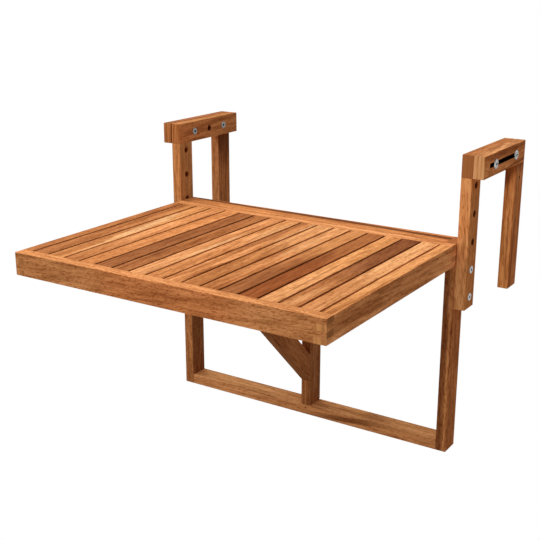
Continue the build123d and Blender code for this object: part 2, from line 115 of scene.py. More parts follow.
class Graph:
    """A node tree, with short calls to add and join nodes.

    Attributes:
        tree: The tree.
        size: Size of the piece.
        own: Sockets of the piece's own coordinates, counted from its lower left front corner.
        colour: Socket of the colour so far.
    """

    def __init__(self, owner: Material | World) -> None:
        """Empty a tree to start on.

        Args:
            owner: Material or world that it belongs to.
        """
        owner.use_nodes = True
        self.tree: NodeTree = owner.node_tree
        self.tree.nodes.clear()
        self.size = Vector()
        self.own: tuple[NodeSocket, ...] = ()
        self.colour: NodeSocket | None = None

    def add(self, kind: str, inputs: Inputs | None = None, **values: object) -> Node:
        """Add one node.

        Args:
            kind: Blender's name of the node type.
            inputs: A socket to join to each input, or a constant, by the input's name or number.
            **values: Properties to set on the node.

        Returns:
            The new node.
        """
        node = self.tree.nodes.new(kind)
        for key, value in values.items():
            setattr(node, key, value)
        for name, source in (inputs or {}).items():
            if isinstance(source, NodeSocket):
                self.tree.links.new(source, node.inputs[name])
            else:
                node.inputs[name].default_value = source
        return node

    def math(self, operation: str, *numbers: NodeSocket | float) -> NodeSocket:
        """Combine numbers, each of them a socket or a constant."""
        return self.add("ShaderNodeMath", dict(enumerate(numbers)), operation=operation).outputs[0]

    def both(self, *masks: NodeSocket) -> NodeSocket:
        """Mask of the places that lie in every one of some masks."""
        return reduce(lambda one, other: self.math("MULTIPLY", one, other), masks)

    def within(self, value: NodeSocket, middle: float, half: float) -> NodeSocket:
        """Mask of the values in a range, given by its middle and half its width."""
        return self.math("LESS_THAN", self.math("ABSOLUTE", self.math("SUBTRACT", value, middle)), half)

    def between(self, value: NodeSocket, low: float, high: float) -> NodeSocket:
        """Mask of the values between two limits."""
        return self.within(value, (low + high) / 2, (high - low) / 2)

    def slope(self, value: NodeSocket, low: float, high: float) -> NodeSocket:
        """Smooth rise from 0 to 1 as a value goes from one limit to another."""
        inputs = {"Value": value, "From Min": low, "From Max": high}
        return self.add("ShaderNodeMapRange", inputs, interpolation_type="SMOOTHSTEP").outputs["Result"]

    def spread(self, value: NodeSocket, low: float, high: float) -> NodeSocket:
        """Lay a share from 0 to 1 out between two values."""
        inputs = {"Value": value, "To Min": low, "To Max": high}
        return self.add("ShaderNodeMapRange", inputs).outputs["Result"]

    def object_place(self) -> NodeSocket:
        """Socket of the place on the piece, in metres in the table's frame."""
        return self.add("ShaderNodeTexCoord").outputs["Object"]

    def measure(self, low: Vector, high: Vector) -> None:
        """Take the size and the own coordinates of a piece.

        Args:
            low: Its lower left front corner, in metres in the table's frame.
            high: Its upper right rear corner.
        """
        self.size = high - low
        shift = self.add("ShaderNodeVectorMath", {0: self.object_place(), 1: low}, operation="SUBTRACT")
        self.own = tuple(self.add("ShaderNodeSeparateXYZ", {0: shift.outputs[0]}).outputs)

    def noise(self, place: NodeSocket, waves: Waves, axis: int = 0) -> NodeSocket:
        """Noise stretched along one axis.

        Args:
            place: Socket of the coordinates.
            waves: Size and form of the noise.
            axis: Axis that it is stretched along.

        Returns:
            Socket of the noise value.
        """
        stretch = self.add("ShaderNodeVectorMath", {0: place, 1: waves.scale(axis)}, operation="MULTIPLY")
        inputs = {
            "Vector": stretch.outputs[0], "Scale": 1.0, "Detail": waves.detail,
            "Roughness": waves.roughness, "Distortion": waves.warp,
        }
        return self.add("ShaderNodeTexNoise", inputs, noise_dimensions="3D").outputs["Fac"]

    def ramp(self, value: NodeSocket, stops: Stops) -> NodeSocket:
        """Colour ramp over a value.

        Args:
            value: Socket of the value.
            stops: Position and colour of each stop, in order.

        Returns:
            Socket of the colour.
        """
        node = self.add("ShaderNodeValToRGB", {"Fac": value})
        points = node.color_ramp.elements
        while len(points) < len(stops):
            points.new(0.5)
        for point, (position, colour) in zip(points, stops):
            point.position = position
            point.color = (*colour, 1.0)
        return node.outputs["Color"]

    def lay(self, blend: Blend, share: NodeSocket | float, over: NodeSocket | Paint) -> None:
        """Lay another colour over the colour so far.

        Args:
            blend: How the two meet.
            share: Socket of the share of the other colour, or a constant.
            over: Socket of that colour, or a named colour, or its channels.
        """
        colour = over.value if isinstance(over, Enum) else over
        upper = (*colour, 1.0) if isinstance(colour, tuple) else colour
        inputs = {"Factor": share, UNDER: self.colour, OVER: upper}
        node = self.add("ShaderNodeMix", inputs, data_type="RGBA", blend_type=blend.value)
        self.colour = node.outputs[MIXED]

    def surface(self, inputs: Inputs) -> None:
        """Add the surface shader in the colour so far, with what its other inputs take, and the output."""
        shader = self.add("ShaderNodeBsdfPrincipled", {"Base Color": self.colour, **inputs})
        self.add("ShaderNodeOutputMaterial", {"Surface": shader.outputs["BSDF"]})

    def relief(self, height: NodeSocket, strength: float, depth: float) -> NodeSocket:
        """Normal that is bumped, at some strength, by a height of some depth in metres."""
        inputs = {"Strength": strength, "Distance": depth, "Height": height}
        return self.add("ShaderNodeBump", inputs).outputs["Normal"]


class Grain(Enum):
    """Direction in which the fibres of a board run."""

    ACROSS = 0
    DEEP = 1
    UPRIGHT = 2
    SLOPING = 3

    @property
    def axis(self) -> int:
        """Axis that the fibres follow, or on a sloping board the one it follows as much as any."""
        return 1 if self is Grain.SLOPING else self.value


class Side(Enum):
    """Direction along which a place on a piece is measured."""

    X = 0
    Y = 1
    Z = 2
    SLOPE = 3

    def coordinate(self, graph: Graph) -> NodeSocket:
        """Coordinate in this direction.

        Args:
            graph: The material.

        Returns:
            Socket of the coordinate, which on a slope is square to a board that falls away from the user.
        """
        if self is Side.SLOPE:
            return graph.math("MULTIPLY", graph.math("ADD", graph.own[1], graph.own[2]), LEAN_COSINE)
        return graph.own[self.value]


class Face(Enum):
    """Flat faces of a board, each with its axis and a 1 where it is the upper one on that axis."""

    LEFT = (0, 0)
    RIGHT = (0, 1)
    FRONT = (1, 0)
    TOP = (2, 1)

    def place(self, size: Vector, depth: float = 0.0) -> float:
        """Coordinate at a depth behind this face, on a board of some size."""
        axis, upper = self.value
        return size[axis] - depth if upper else depth

    def layer(self, graph: Graph, depth: float, half: float) -> NodeSocket:
        """Mask of a layer, by the depth of its middle behind this face and half its thickness."""
        return graph.within(graph.own[self.value[0]], self.place(graph.size, depth), half)


class Timber(Enum):
    """Kinds of timber that the boards are sorted into, each with the colour of most of a board."""

    STRAW = shade(250, 178, 116)
    HONEY = shade(238, 163, 98)
    AMBER = shade(225, 149, 90)
    CARAMEL = shade(212, 136, 78)
    TAN = shade(195, 124, 71)
    NUT = shade(176, 109, 62)
    COCOA = shade(160, 97, 56)
    RUST = shade(158, 87, 44)

    def step(self, count: int) -> Colour:
        """Its colour some steps paler, or deeper where their count is negative."""
        factors = PALER if count > 0 else DEEPER
        return tuple(min(part * factor ** abs(count), 1.0) for part, factor in zip(self.value, factors))


class Stain(Enum):
    """Colours of streaks in the wood, of joint lines and the pin mark, and of painted shade inside holes and
    slots.
    """

    SAPWOOD = shade(240, 184, 128)
    FADED = shade(222, 146, 86)
    HEART = shade(132, 74, 38)
    WEATHERED = shade(104, 55, 24)
    # Painted shade inside drilled holes; the bottom rail's pin mark takes the same colour.
    HOLE_SHADE_AND_PIN_MARK = shade(140, 76, 40)
    # Painted shade inside the slots and the lock pins' holes.
    PAINTED_SLOT_SHADE = shade(36, 20, 12)
    JOINT_LINE = shade(64, 33, 17)


class Plating(Enum):
    """Colours of the plated, blackened and moulded pieces, and of painted shade and painted reflections on
    them.
    """

    PALE = (0.62, 0.61, 0.58)
    CLEAN = (0.50, 0.50, 0.51)
    SATIN = (0.36, 0.36, 0.35)
    GREY = (0.27, 0.27, 0.26)
    DULL = (0.13, 0.135, 0.14)
    # Painted dark reflections on the bolts' heads.
    PAINTED_DARK_REFLECTION = (0.10, 0.09, 0.08)
    # Painted shade inside the sleeve nuts' sockets.
    SHADED_SOCKET = (0.09, 0.10, 0.11)
    RUBBED = (0.075, 0.070, 0.065)
    BLACK = (0.030, 0.028, 0.026)
    # Painted shade inside the drives and the slot nuts' sockets.
    SHADED_RECESS = (0.02, 0.02, 0.02)
    SOOT = (0.012, 0.011, 0.010)


@dataclass(frozen=True)
class Streak:
    """A band of other colour that runs with the grain: a streak in the wood, or painted shade.

    Attributes:
        place: Place of its middle line, in metres from the board's lower left front corner.
        width: Half width, in metres.
        colour: Colour at its middle, or factors on the wood's colour where it is a tint.
        strength: Share of that colour at the middle.
        slant: Drift of the middle line per metre along the grain.
        reach: Where along the grain it starts and ends, if it does not run the whole length.
        wander: How far the grain bends it, as a share of its half width.
        blend: How it meets the wood under it.
        side: Direction in which its place is measured.
    """

    place: float
    width: float
    colour: Paint
    strength: float = 0.8
    slant: float = 0.0
    reach: Pair | None = None
    wander: float = 2.4
    blend: Blend = Blend.COVER
    side: Side = Side.X

    def mask(self, graph: Graph, along: NodeSocket, lines: NodeSocket) -> NodeSocket:
        """Mask of the streak.

        Args:
            graph: The material.
            along: Socket of the coordinate along the grain.
            lines: Socket of the grain that bends the streak.

        Returns:
            Socket of the share of the streak's colour.
        """
        drift = graph.math("MULTIPLY", along, self.slant)
        offset = graph.math("SUBTRACT", self.side.coordinate(graph), drift)
        offset = graph.math("SUBTRACT", offset, self.place)
        bend = graph.math("MULTIPLY", graph.math("SUBTRACT", lines, NOISE_MIDDLE), self.width * self.wander)
        distance = graph.math("ABSOLUTE", graph.math("ADD", offset, bend))
        fade = graph.math("SUBTRACT", self.width, distance)
        share = graph.math("MAXIMUM", graph.math("DIVIDE", fade, STREAK_FADE * self.width), 0.0)
        share = graph.math("MULTIPLY", graph.math("MINIMUM", share, 1.0), self.strength)
        if self.reach:
            start, end = self.reach
            begun = graph.slope(along, start - SPAN_FADE, start + SPAN_FADE)
            going = graph.slope(along, end + SPAN_FADE, end - SPAN_FADE)
            share = graph.both(share, begun, going)
        return share


@dataclass(frozen=True)
class Tint:
    """Another depth of colour on one flat face of a board: mostly painted light or shade that makes the face
    lighter or darker as lamps would, in places the wood's own tone.

    Attributes:
        face: The face.
        factors: Factor on each channel of the wood's colour.
        reach: Where along the grain it starts and ends, if it does not cover the whole face.
    """

    face: Face
    factors: Colour
    reach: Pair | None = None

    def streak(self, size: Vector) -> Streak:
        """The tint as a straight streak, just deep enough for the face and its eased edges."""
        place, side = self.face.place(size), Side(self.face.value[0])
        return Streak(place, FACE_DEPTH, self.factors, 1.0, 0.0, self.reach, 0.0, Blend.TINT, side)


class Hollow(ABC):
    """A place on a piece with a colour and a shape of its own: painted shade inside a hole or slot, a dark
    joint line, or a mark.

    Attributes:
        colour: Its colour.
    """

    colour: Paint

    @abstractmethod
    def mask(self, graph: Graph) -> NodeSocket:
        """Mask of the place.

        Args:
            graph: The material.

        Returns:
            Socket that is 1 in the place and 0 elsewhere.
        """


@dataclass(frozen=True)
class Bores(Hollow):
    """A row of round holes, or a single one.

    Attributes:
        middle: Place of one hole's axis in the two directions across it, in metres.
        radius: Radius within which it is dark.
        row: Direction in which the row runs.
        pitch: Distance from hole to hole.
        count: Number of holes in the row to either side of that one.
        depth: Least and greatest distance along the axis, from 0, at which it is dark.
        colour: Colour inside: painted shade in a hole, or the colour of a mark.
        axis: Direction of the holes' axes.
    """

    middle: Pair
    radius: float
    row: Side = Side.Z
    pitch: float = 1.0
    count: int = 0
    depth: Pair = (0.0, 1.0)
    colour: Paint = Stain.HOLE_SHADE_AND_PIN_MARK
    axis: Side = Side.X

    def mask(self, graph: Graph) -> NodeSocket:
        """Mask of the holes, as for any hollow."""
        sides = [side for side in (Side.X, Side.Y, Side.Z) if side is not self.axis]
        offsets = {
            side: graph.math("SUBTRACT", graph.own[side.value], place)
            for side, place in zip(sides, self.middle)
        }
        along = offsets.pop(self.row)
        wrapped = graph.math("WRAP", along, self.pitch / 2, -self.pitch / 2)
        squares = [graph.math("MULTIPLY", part, part) for part in (wrapped, *offsets.values())]
        holes = graph.math("LESS_THAN", graph.math("ADD", *squares), self.radius**2)
        deep = graph.between(graph.math("ABSOLUTE", graph.own[self.axis.value]), *self.depth)
        return graph.both(holes, graph.within(along, 0.0, (self.count + 0.5) * self.pitch), deep)


@dataclass(frozen=True)
class Channel(Hollow):
    """Painted shade inside a slot at half the height of an arm, or on the wood that shows behind it.

    Attributes:
        ends: Where it starts and ends, from the arm's front end.
        half_width: Half its width.
        face: Face that shows behind it, or none for the slot itself.
        colour: Colour of the painted shade.
    """

    ends: Pair
    half_width: float
    face: Face | None = None
    colour: Paint = Stain.PAINTED_SLOT_SHADE

    def mask(self, graph: Graph) -> NodeSocket:
        """Mask of the slot, as for any hollow."""
        short = graph.between(graph.own[1], *self.ends)
        slot = graph.both(short, graph.within(graph.own[2], graph.size.z / 2, self.half_width))
        return graph.both(slot, self.face.layer(graph, 0.0, SKIN_DEPTH)) if self.face else slot


@dataclass(frozen=True)
class Seam(Hollow):
    """The dark line round the edge of a face that lies against another board.

    Attributes:
        face: The face.
        width: Width of the line.
        colour: Colour of the line.
    """

    face: Face
    width: float = 0.0011
    colour: Paint = Stain.JOINT_LINE

    def mask(self, graph: Graph) -> NodeSocket:
        """Mask of the line, as for any hollow."""
        return self.face.layer(graph, SKIN_DEPTH + self.width / 2, self.width / 2)


class Figure(Enum):
    """Layers of the wood's figure, and the rings of its cut ends."""

    BANDS = Waves(1.4, 22.0, 1.0, 0.5, 0.3)
    LINES = Waves(5.0, 95.0, 3.0, 0.6, 0.5)
    THREADS = Waves(18.0, 280.0, 2.0, 0.6, 0.3)
    RINGS = Waves(260.0, 11.0, 2.0, 0.6, 0.4)


class Pores(Enum):
    """Pore flecks that the boards show."""

    SHORT = Waves(100.0, 330.0, 1.0, 0.5, skew=12.0)
    FINE = Waves(150.0, 520.0, 1.0, 0.5, skew=5.0)
    LONG = Waves(55.0, 620.0, 1.0, 0.5, skew=2.0)


@dataclass(frozen=True)
class WoodFinish:
    """Oiled wood of one board.

    Attributes:
        timber: Kind of timber.
        grain: Direction of the fibres.
        seed: Shift into the pattern, so that no two boards match.
        flecks: Depth of the dark pore flecks.
        contrast: Spread between the pale and deep bands.
        streaks: Bands of other colour.
        tints: Faces made lighter or darker, mostly painted light and shade.
        hollows: Painted shade in holes and slots, dark joint lines and marks.
        end: Kind of timber that the cut ends look like, where it is another.
        rings: Spread between the pale and deep rings on the cut ends.
        pores: Form of the pore flecks.
    """

    timber: Timber
    grain: Grain
    seed: float
    flecks: float = 0.6
    contrast: float = 0.7
    streaks: tuple[Streak, ...] = ()
    tints: tuple[Tint, ...] = ()
    hollows: tuple[Hollow, ...] = ()
    end: Timber | None = None
    rings: float = 0.7
    pores: Pores = Pores.SHORT

    def coordinates(self, graph: Graph, skew: float) -> NodeSocket:
        """Object coordinates turned and shifted for this board.

        Args:
            graph: The material.
            skew: Angle to the fibres, in degrees.

        Returns:
            Socket of the coordinates.
        """
        angle = FIBRE_SWAY * sin(self.seed) + radians(skew)
        lean = BOARD_LEAN if self.grain is Grain.SLOPING else 0.0
        inputs = {
            "Vector": graph.object_place(),
            "Location": tuple(self.seed * shift for shift in SEED_SHIFT),
            "Rotation": (lean + angle, angle, angle),
        }
        return graph.add("ShaderNodeMapping", inputs).outputs["Vector"]

    def bands(self, timber: Timber, contrast: float, steps: int) -> Stops:
        """Stops of a ramp from deep to pale bands, some steps to either side of the body colour."""
        width = BAND_STEP / contrast
        return [(NOISE_MIDDLE + count * width, timber.step(count)) for count in range(-steps, steps + 1)]

    def cut_ends(self, graph: Graph, fibres: NodeSocket) -> None:
        """Show growth rings on the faces that cut the fibres, apart from a sloping board's.

        Args:
            graph: The material.
            fibres: Socket of the coordinates that follow the fibres.
        """
        if self.grain is Grain.SLOPING:
            return
        facing = graph.add("ShaderNodeSeparateXYZ", {0: graph.add("ShaderNodeTexCoord").outputs["Normal"]})
        cut = graph.math("GREATER_THAN", graph.math("ABSOLUTE", facing.outputs[self.grain.axis]), CUT_SHARE)
        rings = graph.noise(fibres, Figure.RINGS.value, 0 if self.grain is Grain.DEEP else 1)
        ends = graph.ramp(rings, self.bands(self.end or self.timber, self.rings, steps=1))
        graph.lay(Blend.COVER, cut, ends)

    def material(self, node: str) -> Material:
        """Build the material of one board.

        Args:
            node: Name of the board.

        Returns:
            The material.
        """
        material = bpy.data.materials.new(f"{node}_wood")
        graph = Graph(material)
        graph.measure(*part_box(node))
        axis = self.grain.axis
        fibres = self.coordinates(graph, 0.0)
        bands, lines, threads = (
            graph.noise(fibres, layer.value, axis) for layer in (Figure.BANDS, Figure.LINES, Figure.THREADS)
        )
        form = self.pores.value
        pores = graph.noise(self.coordinates(graph, form.skew), form, axis)
        broad = graph.math("MULTIPLY", bands, BAND_SHARE)
        figure = graph.math("ADD", broad, graph.math("MULTIPLY", lines, 1.0 - BAND_SHARE))
        graph.colour = graph.ramp(figure, self.bands(self.timber, self.contrast, steps=2))
        for streak in (*self.streaks, *(tint.streak(graph.size) for tint in self.tints)):
            graph.lay(streak.blend, streak.mask(graph, graph.own[axis], lines), streak.colour)
        graph.lay(Blend.TINT, 1.0, graph.ramp(threads, THREAD_TINTS))
        graph.lay(Blend.TINT, self.flecks, graph.ramp(pores, FLECK_TINTS))
        self.cut_ends(graph, fibres)
        for hollow in self.hollows:
            graph.lay(Blend.COVER, hollow.mask(graph), hollow.colour)
        height = graph.math("SUBTRACT", threads, graph.math("MULTIPLY", pores, PORE_DEPTH))
        graph.surface({
            "Roughness": graph.spread(figure, *OIL_ROUGHNESS),
            "Specular IOR Level": OIL_SPECULAR,
            "Normal": graph.relief(height, *WOOD_RELIEF),
        })
        return material


@dataclass(frozen=True)
class HardFinish:
    """Plated steel, or with other values moulded nylon.

    Attributes:
        name: Name of the material.
        bright: Colour where the clouds are thick.
        dark: Colour where they are thin.
        recesses: Sockets and drives with painted shade inside.
        patches: Shares of the clouds at which the dark colour ends and the bright one starts.
        clouds: Size and form of the clouds.
        grit: Size of the fine grit.
        metallic: 1 for metal, 0 for nylon.
        roughness: Roughness where the clouds are thin and where they are thick, or one for all.
        relief: Strength of the grit.
    """

    name: str
    bright: Plating
    dark: Plating
    recesses: tuple[Bores, ...] = ()
    patches: Pair = (0.36, 0.60)
    clouds: Waves = Waves(420.0, 420.0, 3.0, 0.6, 0.3)
    grit: Waves = Waves(2600.0, 2600.0)
    metallic: float = 1.0
    roughness: Pair | float = (0.22, 0.46)
    relief: float = 0.12

    def material(self) -> Material:
        """Build the material.

        Returns:
            The material.
        """
        material = bpy.data.materials.new(self.name)
        graph = Graph(material)
        place = graph.object_place()
        cloud = graph.noise(place, self.clouds)
        graph.colour = graph.ramp(cloud, list(zip(self.patches, (self.dark.value, self.bright.value))))
        if self.recesses:
            graph.measure(Vector(), Vector())
        for recess in self.recesses:
            graph.lay(Blend.COVER, recess.mask(graph), recess.colour)
        varied = isinstance(self.roughness, tuple)
        graph.surface({
            "Metallic": self.metallic,
            "Roughness": graph.spread(cloud, *self.roughness) if varied else self.roughness,
            "Normal": graph.relief(graph.noise(place, self.grit), self.relief, GRIT_DEPTH),
        })
        return material


def dress(node: str, material: Material) -> None:
    """Put a material on every slot of a solid.

    Args:
        node: Name of the solid's node.
        material: Material to use.
    """
    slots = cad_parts[node].data.materials
    if not slots:
        slots.append(material)
    for index in range(len(slots)):
        slots[index] = material
    log.info("%s wears %s", node, material.name)


# Finish of each board, by the name of its node.
Boards = dict[str, WoodFinish]


class Joinery(ABC):
    """A sub-assembly of wooden boards."""

    @abstractmethod
    def boards(self) -> Boards:
        """Describe the boards.

        Returns:
            The boards and their finishes.
        """

    def build(self) -> None:
        """Dress every board in wood of its own."""
        for node, finish in self.boards().items():
            dress(node, finish.material(node))


@dataclass(frozen=True)
class Slat:
    """How one slat of the top differs from the others.

    Attributes:
        timber: Kind of timber.
        flecks: Depth of the pore flecks.
        contrast: Spread between the bands.
        streaks: Streaks, placed from the slat's left front corner.
        front: Colour towards which its front end drifts, if it does.
        rear: Colour towards which its rear end drifts, if it does.
    """

    timber: Timber
    flecks: float
    contrast: float
    streaks: tuple[Streak, ...] = ()
    front: Paint | None = None
    rear: Paint | None = None


@dataclass
class TableTop(Joinery):
    """Slats, box-jointed rim and the supports under the slats.

    Attributes:
        slats: The slats from left to right.
        gap_shade_width: Width of the painted shade along each long edge of a slat, in metres.
        gap_shade_strength: Depth of that painted shade.
        drift_length: Length of a slat's end over which its colour drifts.
        drift_share: Share of the other colour at that end.
        drift_wander: How far the grain bends the drift, as a share of its length.
        seed_step: Step of the pattern's seed from slat to slat.
    """

    slats: tuple[Slat, ...] = (
        Slat(Timber.TAN, 0.8, 0.9, (
            Streak(0.023, 0.009, Timber.HONEY, 0.55, 0.0, (0.30, 0.50)),
        ), Timber.NUT),
        Slat(Timber.HONEY, 0.7, 0.7, (
            Streak(0.0156, 0.015, Timber.TAN, 0.9, -0.0714, (-0.10, 0.26), 0.8),
            Streak(0.0326, 0.010, Stain.SAPWOOD, 1.0, -0.0714, (0.15, 0.33), 0.8),
            Streak(0.0326, 0.004, Stain.SAPWOOD, 0.9, -0.0714, (0.06, 0.20), 0.8),
        )),
        Slat(Timber.AMBER, 0.7, 0.9, (), Timber.TAN),
        Slat(Timber.CARAMEL, 0.8, 0.7),
        Slat(Timber.COCOA, 0.6, 0.6, (), Timber.NUT, Timber.NUT),
        Slat(Timber.TAN, 0.8, 0.9, (
            Streak(0.0139, 0.007, Stain.HEART, 0.5, -0.06, (-0.10, 0.17)),
        ), Timber.NUT, Timber.NUT),
        Slat(Timber.AMBER, 0.6, 1.1, (
            Streak(0.0255, 0.005, Stain.SAPWOOD, 0.9, 0.0, (0.12, 0.27), 0.8),
        ), Timber.STRAW),
        Slat(Timber.AMBER, 0.7, 1.3, (
            Streak(0.0230, 0.011, Stain.SAPWOOD, 0.5, 0.0, (0.27, 0.39)),
            Streak(0.0150, 0.006, Timber.TAN, 0.5, 0.0, (-0.10, 0.16)),
        ), Timber.CARAMEL, Timber.HONEY),
        Slat(Timber.AMBER, 0.7, 1.4, (
            Streak(0.006, 0.010, Timber.NUT, 0.7, 0.0, (0.20, 0.50)),
            Streak(0.027, 0.005, Stain.SAPWOOD, 0.5, 0.0, (0.27, 0.50)),
        ), None, Timber.CARAMEL),
        Slat(Timber.HONEY, 0.7, 1.5, (
            Streak(0.0186, 0.007, Stain.HEART, 0.15, -0.02, (0.07, 0.31)),
        ), Timber.TAN, Timber.STRAW),
        Slat(Timber.AMBER, 0.7, 1.3, (
            Streak(0.013, 0.004, Stain.SAPWOOD, 0.6, 0.01, (0.20, 0.32)),
            Streak(0.004, 0.008, Timber.TAN, 0.5, 0.03, (-0.10, 0.23)),
        ), None, Timber.STRAW),
        Slat(Timber.TAN, 0.4, 0.9, (), Timber.COCOA, Timber.HONEY),
        Slat(Timber.RUST, 0.3, 0.6, (), None, Timber.TAN),
        Slat(Timber.HONEY, 0.7, 0.8, (
            Streak(0.022, 0.003, Stain.HEART, 0.4, -0.03, (0.03, 0.20)),
        ), Timber.STRAW),
        Slat(Timber.COCOA, 0.7, 0.9, (
            Streak(0.014, 0.011, Timber.STRAW, 0.6, 0.06, (-0.10, 0.10)),
        ), Timber.CARAMEL, Stain.HEART),
        Slat(Timber.STRAW, 0.8, 0.4, (), Timber.CARAMEL),
    )
    gap_shade_width: float = 0.0010
    gap_shade_strength: float = 0.3
    drift_length: float = 0.22
    drift_share: float = 0.6
    drift_wander: float = 0.2
    seed_step: float = 3.7

    def slat_finish(self, number: int) -> WoodFinish:
        """Finish of one slat.

        Args:
            number: Its number from the left, from 1.

        Returns:
            The finish, with the slat's streaks and painted shade along its long edges.
        """
        slat = self.slats[number - 1]
        low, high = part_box(f"slat_{number:02d}")
        # Painted shade along each long edge of the slat, so that the gaps between slats fall dark.
        gap_shades = tuple(
            Streak(place, self.gap_shade_width, Stain.HEART, self.gap_shade_strength, wander=0.0)
            for place in (0.0, high.x - low.x)
        )
        drifts = tuple(
            Streak(place, self.drift_length, colour, self.drift_share, wander=self.drift_wander, side=Side.Y)
            for place, colour in ((0.0, slat.front), (high.y - low.y, slat.rear))
            if colour
        )
        streaks = drifts + slat.streaks + gap_shades
        seed = self.seed_step * number
        return WoodFinish(slat.timber, Grain.DEEP, seed, slat.flecks, slat.contrast, streaks)

    def rim_and_supports(self) -> Boards:
        """Describe the rails and aprons, and the batten and ledgers under the slats.

        Returns:
            The boards and their finishes.
        """
        # Painted light on the front rail's top and the right apron's side; the front rail's redder middle
        # and paler end are the wood's own tone.
        painted_light_top = Tint(Face.TOP, (1.08, 1.12, 1.16))
        painted_light_apron_side = Tint(Face.RIGHT, (1.24, 1.15, 1.20))
        red_middle = Tint(Face.FRONT, (1.05, 0.92, 0.86), (0.19, 0.45))
        pale_end = Tint(Face.FRONT, (1.06, 1.08, 1.10), (0.45, 0.53))
        return {
            "front_rail": WoodFinish(
                Timber.AMBER, Grain.ACROSS, 71.3, 1.0, 0.4,
                tints=(painted_light_top, red_middle, pale_end), end=Timber.TAN, pores=Pores.FINE,
            ),
            "rear_rail": WoodFinish(Timber.AMBER, Grain.ACROSS, 75.9, 0.5, 1.2),
            "left_apron": WoodFinish(Timber.TAN, Grain.DEEP, 79.1, end=Timber.AMBER),
            "right_apron": WoodFinish(
                Timber.HONEY, Grain.DEEP, 83.7, 0.6, 0.9, tints=(painted_light_apron_side,), end=Timber.HONEY
            ),
            "centre_batten": WoodFinish(Timber.NUT, Grain.ACROSS, 87.2),
            "front_ledger": WoodFinish(Timber.TAN, Grain.ACROSS, 91.8),
            "rear_ledger": WoodFinish(Timber.NUT, Grain.ACROSS, 95.4),
        }

    def boards(self) -> Boards:
        """Describe every board of the top, as for any joinery."""
        slats = {f"slat_{number:02d}": self.slat_finish(number) for number in range(1, len(self.slats) + 1)}
        return slats | self.rim_and_supports()


@dataclass
class BackFrame(Joinery):
    """Legs and rails of the frame behind the top.

    Attributes:
        pin_height: Height of the pin mark above the bottom rail's underside, in metres.
        pin_radius: Radius of that mark.
        shade_width: Half width of the shaded band along the back of the top rail.
    """

    pin_height: float = 0.0144
    pin_radius: float = 0.0016
    shade_width: float = 0.008

    def boards(self) -> Boards:
        """Describe the frame's boards, as for any joinery."""
        # Painted shade on the left leg's inner face, and painted light on the right leg's outer face and on
        # the bottom rail's top.
        inner_shade = Tint(Face.RIGHT, (0.62, 0.59, 0.59))
        painted_light_leg_side = Tint(Face.RIGHT, (1.36, 1.22, 1.08))
        painted_light_rail_top = Tint(Face.TOP, (1.05, 1.23, 1.35))
        pale_line = Streak(0.0150, 0.0028, Stain.FADED, 0.95, wander=0.8)
        heart_line = Streak(0.006, 0.006, Stain.HEART, 0.5, wander=1.2)
        low_heart = Streak(-0.0201, 0.007, Stain.HEART, 0.85, 0.083, (0.31, 0.43), 1.0, side=Side.Z)
        rear_shade = Streak(0.0341, self.shade_width, Stain.WEATHERED, 0.9, -0.020, side=Side.Y)
        low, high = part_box("bottom_rail")
        pin_place = ((high.x - low.x) / 2, self.pin_height)
        pin_mark = Bores(pin_place, self.pin_radius, depth=(-SKIN_DEPTH, SKIN_DEPTH), axis=Side.Y)
        return {
            "left_leg": WoodFinish(Timber.TAN, Grain.UPRIGHT, 101.6, 0.9, tints=(inner_shade,)),
            "right_leg": WoodFinish(
                Timber.NUT, Grain.UPRIGHT, 105.3, 0.9, 1.2,
                streaks=(heart_line, pale_line), tints=(painted_light_leg_side,),
            ),
            "bottom_rail": WoodFinish(
                Timber.AMBER, Grain.ACROSS, 109.9,
                streaks=(low_heart,), tints=(painted_light_rail_top,), hollows=(pin_mark,),
            ),
            "top_rail": WoodFinish(Timber.CARAMEL, Grain.ACROSS, 113.4, streaks=(rear_shade,)),
        }


@dataclass
class SwingBracket(Joinery):
    """Post, brace and bar of the bracket under the top.

    Attributes:
        shade_depth: Depth to which the shaded underside of the brace reaches, in metres.
    """

    shade_depth: float = 0.0016

    def boards(self) -> Boards:
        """Describe the bracket's boards, as for any joinery."""
        # Painted light on the post's right face.
        painted_light_post_side = Tint(Face.RIGHT, (1.12, 1.23, 1.30))
        pale_line = Streak(0.008, 0.003, Stain.FADED, 0.5, wander=0.8)
        low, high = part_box("gate_brace")
        underside = (high.z - low.z) * LEAN_COSINE
        brace_shade = Streak(
            underside, self.shade_depth, (0.55, 0.50, 0.48), 1.0,
            wander=0.0, blend=Blend.TINT, side=Side.SLOPE,
        )
        return {
            "gate_post": WoodFinish(
                Timber.NUT, Grain.UPRIGHT, 121.5, streaks=(pale_line,), tints=(painted_light_post_side,)
            ),
            "gate_brace": WoodFinish(Timber.TAN, Grain.SLOPING, 125.2, streaks=(brace_shade,)),
            "gate_top_bar": WoodFinish(Timber.NUT, Grain.DEEP, 129.8),
        }


